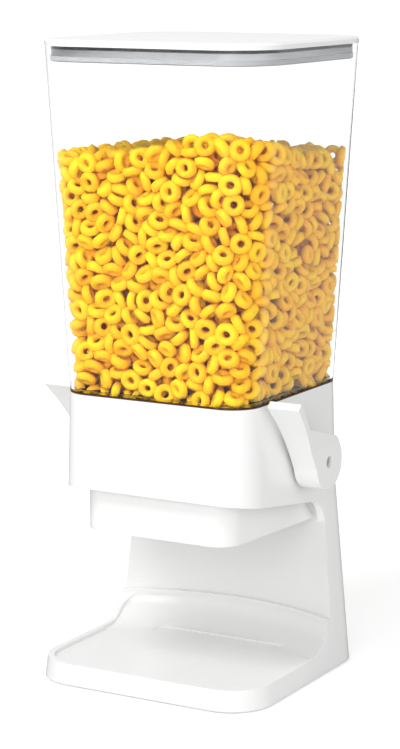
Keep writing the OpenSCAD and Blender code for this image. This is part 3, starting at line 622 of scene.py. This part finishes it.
def ringMesh():
    # One ring: an oval section spun round
    bm = bmesh.new()
    section = bmesh.ops.create_circle(bm, segments=rings["across"], radius=1.0)["verts"]
    for v in section:
        v.co = Vector((rings["middleR"] + rings["tubeR"]*v.co.x, 0, rings["tubeH"]*v.co.y))
    bmesh.ops.spin(bm, geom=list(bm.verts) + list(bm.edges), cent=(0, 0, 0), axis=(0, 0, 1),
                   angle=math.tau, steps=rings["around"], use_merge=True, use_duplicate=False)
    bmesh.ops.recalc_face_normals(bm, faces=bm.faces)
    mesh = bpy.data.meshes.new("ringPattern")
    bm.to_mesh(mesh)
    bm.free()
    return mesh


def buildRings():
    rng = np.random.default_rng(rings["seed"])
    places, axes = settleRings(*scatterRings(rng))
    # Painted shade: the further a ring lies from the wall and the top, the more it is turned towards the
    # deeper orange, added to a random tone of its own
    nearest = np.minimum(wallRoom(places, hopper["wall"])[0], heapTop(places) - places[:, 2])
    toneAndShade = rings["toneAndShade"]
    depth = np.clip((nearest - toneAndShade["from"])/toneAndShade["over"], 0, 1)
    tonesAndShade = np.clip(toneAndShade["chance"]*rng.random(len(places)) + toneAndShade["depth"]*depth, 0, 1)
    order = np.argsort(places[:, 2])
    pattern = ringMesh()
    count = len(pattern.vertices)
    for index, part in enumerate(np.array_split(order, rings["pieces"])):
        bm = bmesh.new()
        for ring in part:
            size = 1 + rings["sizeSpread"]*rng.uniform(-1, 1, 3)
            turn = Vector(axes[ring]).to_track_quat("Z", "Y").to_matrix().to_4x4()
            rolled = Matrix.Rotation(rng.uniform(0, math.tau), 4, "Z")
            copy = pattern.copy()
            copy.transform(Matrix.Translation(Vector(places[ring])) @ turn @ rolled @
                           Matrix.Diagonal((*size, 1)))
            bm.from_mesh(copy)
            bpy.data.meshes.remove(copy)
        piece = finishPiece(f"puffed_rings_{index + 1}", bm, "hopper", "puffedGrain")
        # each ring's random tone plus its painted shade by depth, read by the grain finish
        shade = piece.data.attributes.new("toneAndShade", "FLOAT", "POINT")
        shade.data.foreach_set("value", np.repeat(tonesAndShade[part], count).astype(np.float32))
    bpy.data.meshes.remove(pattern)
    print("rings laid,", len(places))


buildRings()


# Plain pale floor, soft light and the camera

studio = {
    "floorSize": 40.0,
    "floorColour": (0.86, 0.86, 0.86, 1),
    "floorMirrored": (0.3, 0.3, 0.3, 1),      # the floor as it shows in glossy surfaces
    "floorRough": 0.9,
    "floorLift": {"near": 0.36, "far": 0.65, "from": 0.25, "to": 1.1},
    "sky": 0.66,
    "mirrored": 0.85,       # level of the surroundings where they show in glossy surfaces
    "lamps": {
        "front": {"at": (0.45, -1.6, 0.62), "size": 0.8, "power": 7.5},
        "above": {"at": (-0.25, -0.75, 1.25), "size": 0.45, "power": 6.0},
        "side": {"at": (1.4, -0.2, 0.7), "size": 0.8, "power": 1.5},
    },
    "aim": (0.0, 0.0, 0.2),
}


def buildFloor():
    bm = bmesh.new()
    bmesh.ops.create_grid(bm, x_segments=1, y_segments=1, size=studio["floorSize"]/2)
    mesh = bpy.data.meshes.new("floor")
    bm.to_mesh(mesh)
    bm.free()
    floor = bpy.data.objects.new("floor", mesh)
    scene.collection.objects.link(floor)
    material, tree, shader = newMaterial("paleFloor")
    shader.inputs["Roughness"].default_value = studio["floorRough"]
    shader.inputs["Specular IOR Level"].default_value = 0.0
    # Rays through glass count as glossy too, so those are taken out
    path = addNode(tree, "ShaderNodeLightPath").outputs
    mirrored = maths(tree, "GREATER_THAN", path["Is Glossy Ray"], path["Is Transmission Ray"])
    colour = mixColours(tree, mirrored, studio["floorColour"], studio["floorMirrored"])
    tree.links.new(colour, shader.inputs["Base Color"])
    seen = maths(tree, "MAXIMUM", path["Is Camera Ray"], path["Is Transmission Ray"])
    lift = studio["floorLift"]
    place = addNode(tree, "ShaderNodeTexCoord").outputs["Object"]
    away = addNode(tree, "ShaderNodeVectorMath", operation="LENGTH")
    tree.links.new(place, away.inputs[0])
    level = spread(tree, away.outputs["Value"], lift["from"], lift["to"], lift["near"], lift["far"])
    shader.inputs["Emission Color"].default_value = (1, 1, 1, 1)
    tree.links.new(maths(tree, "MULTIPLY", seen, level), shader.inputs["Emission Strength"])
    mesh.materials.append(material)


def buildSky():
    world = bpy.data.worlds.new("softStudio")
    world.use_nodes = True
    tree = world.node_tree
    sky = tree.nodes["Background"]
    sky.inputs["Color"].default_value = (1, 1, 1, 1)
    path = addNode(tree, "ShaderNodeLightPath").outputs
    seen = maths(tree, "MAXIMUM", path["Is Camera Ray"], path["Is Transmission Ray"])
    level = spread(tree, path["Is Glossy Ray"], 0.0, 1.0, studio["sky"], studio["mirrored"])
    tree.links.new(maths(tree, "MAXIMUM", seen, level), sky.inputs["Strength"])
    scene.world = world


def buildLamps():
    for name, values in studio["lamps"].items():
        lamp = bpy.data.lights.new(name, "AREA")
        lamp.energy = values["power"]
        lamp.size = values["size"]
        holder = bpy.data.objects.new(name, lamp)
        scene.collection.objects.link(holder)
        holder.location = values["at"]
        way = Vector(studio["aim"]) - holder.location
        holder.rotation_euler = way.to_track_quat("-Z", "Y").to_euler()


viewpoint = {
    "at": (0.6891, -1.21735, 0.4402),
    "down": 10.46,      # degrees below the horizon
    "turn": 29.55,
    "lens": 113.24,     # millimetres on a sensor as long as the picture's long side
    "sensor": 36.0,
}


def buildCamera():
    camera = bpy.data.cameras.new("camera")
    camera.lens = viewpoint["lens"]
    camera.sensor_width = viewpoint["sensor"]
    camera.sensor_fit = "AUTO"
    holder = bpy.data.objects.new("camera", camera)
    scene.collection.objects.link(holder)
    holder.location = viewpoint["at"]
    holder.rotation_euler = (math.radians(90 - viewpoint["down"]), 0, math.radians(viewpoint["turn"]))
    scene.camera = holder


buildFloor()
buildSky()
buildLamps()
buildCamera()
scene.view_settings.view_transform = "Standard"
print("studio set")
